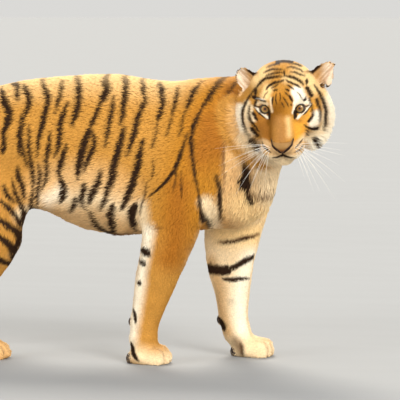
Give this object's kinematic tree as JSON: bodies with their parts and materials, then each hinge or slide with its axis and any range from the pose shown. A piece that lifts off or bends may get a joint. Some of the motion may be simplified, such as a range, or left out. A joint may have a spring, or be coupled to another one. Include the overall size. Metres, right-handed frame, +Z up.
{
  "type": "tiger",
  "caption": "Life-size standing Amur tiger, a still museum-style model on four flat-soled paws, its head turned to its right and its long tail hanging in a curve.",
  "frame": {"origin": "on the floor, under the centre of the model's bounding box", "axes": "+X is the way the trunk faces, +Y is the animal's left side, +Z is up; the head is turned to face towards -Y"},
  "size_m": [2.0576, 0.5306, 1.0432],
  "materials": {
    "coat": "short dense golden-orange fur with brown-black stripes",
    "pale_coat": "soft cream-white fur with a few dark bars",
    "nose": "matte pink-brown nose leather with a dark rim",
    "eye": "glossy greenish-amber eye with a small round pupil",
    "pad": "matte black bare pad skin",
    "whisker": "stiff tapered white whiskers",
    "claw": "smooth horn, mostly sheathed in the toes"
  },
  "bodies": {
    "root": {"nose_leather": "nose", "muzzle": "coat", "head": "coat", "neck": "coat", "forearm_right": "coat", "upper_foreleg_right": "coat", "metatarsus_right": "coat", "shank_right": "coat", "thigh_right": "coat", "forearm_left": "coat", "upper_foreleg_left": "coat", "metatarsus_left": "coat", "shank_left": "coat", "thigh_left": "coat", "tail_tip": "coat", "tail_lower": "coat", "tail_middle": "coat", "tail_base": "coat", "chest": "coat", "belly": "coat", "rump": "coat", "ear_left": "coat", "ear_right": "coat", "lower_jaw": "pale_coat", "forepaw_right": "pale_coat", "hindpaw_right": "pale_coat", "forepaw_left": "pale_coat", "hindpaw_left": "pale_coat", "eye_left": "eye", "eye_right": "eye", "wrist_pad_right": "pad", "wrist_pad_left": "pad", "heel_pad_fore_right": "pad", "heel_pad_fore_left": "pad", "heel_pad_hind_right": "pad", "heel_pad_hind_left": "pad"}
  },
  "joints": []
}
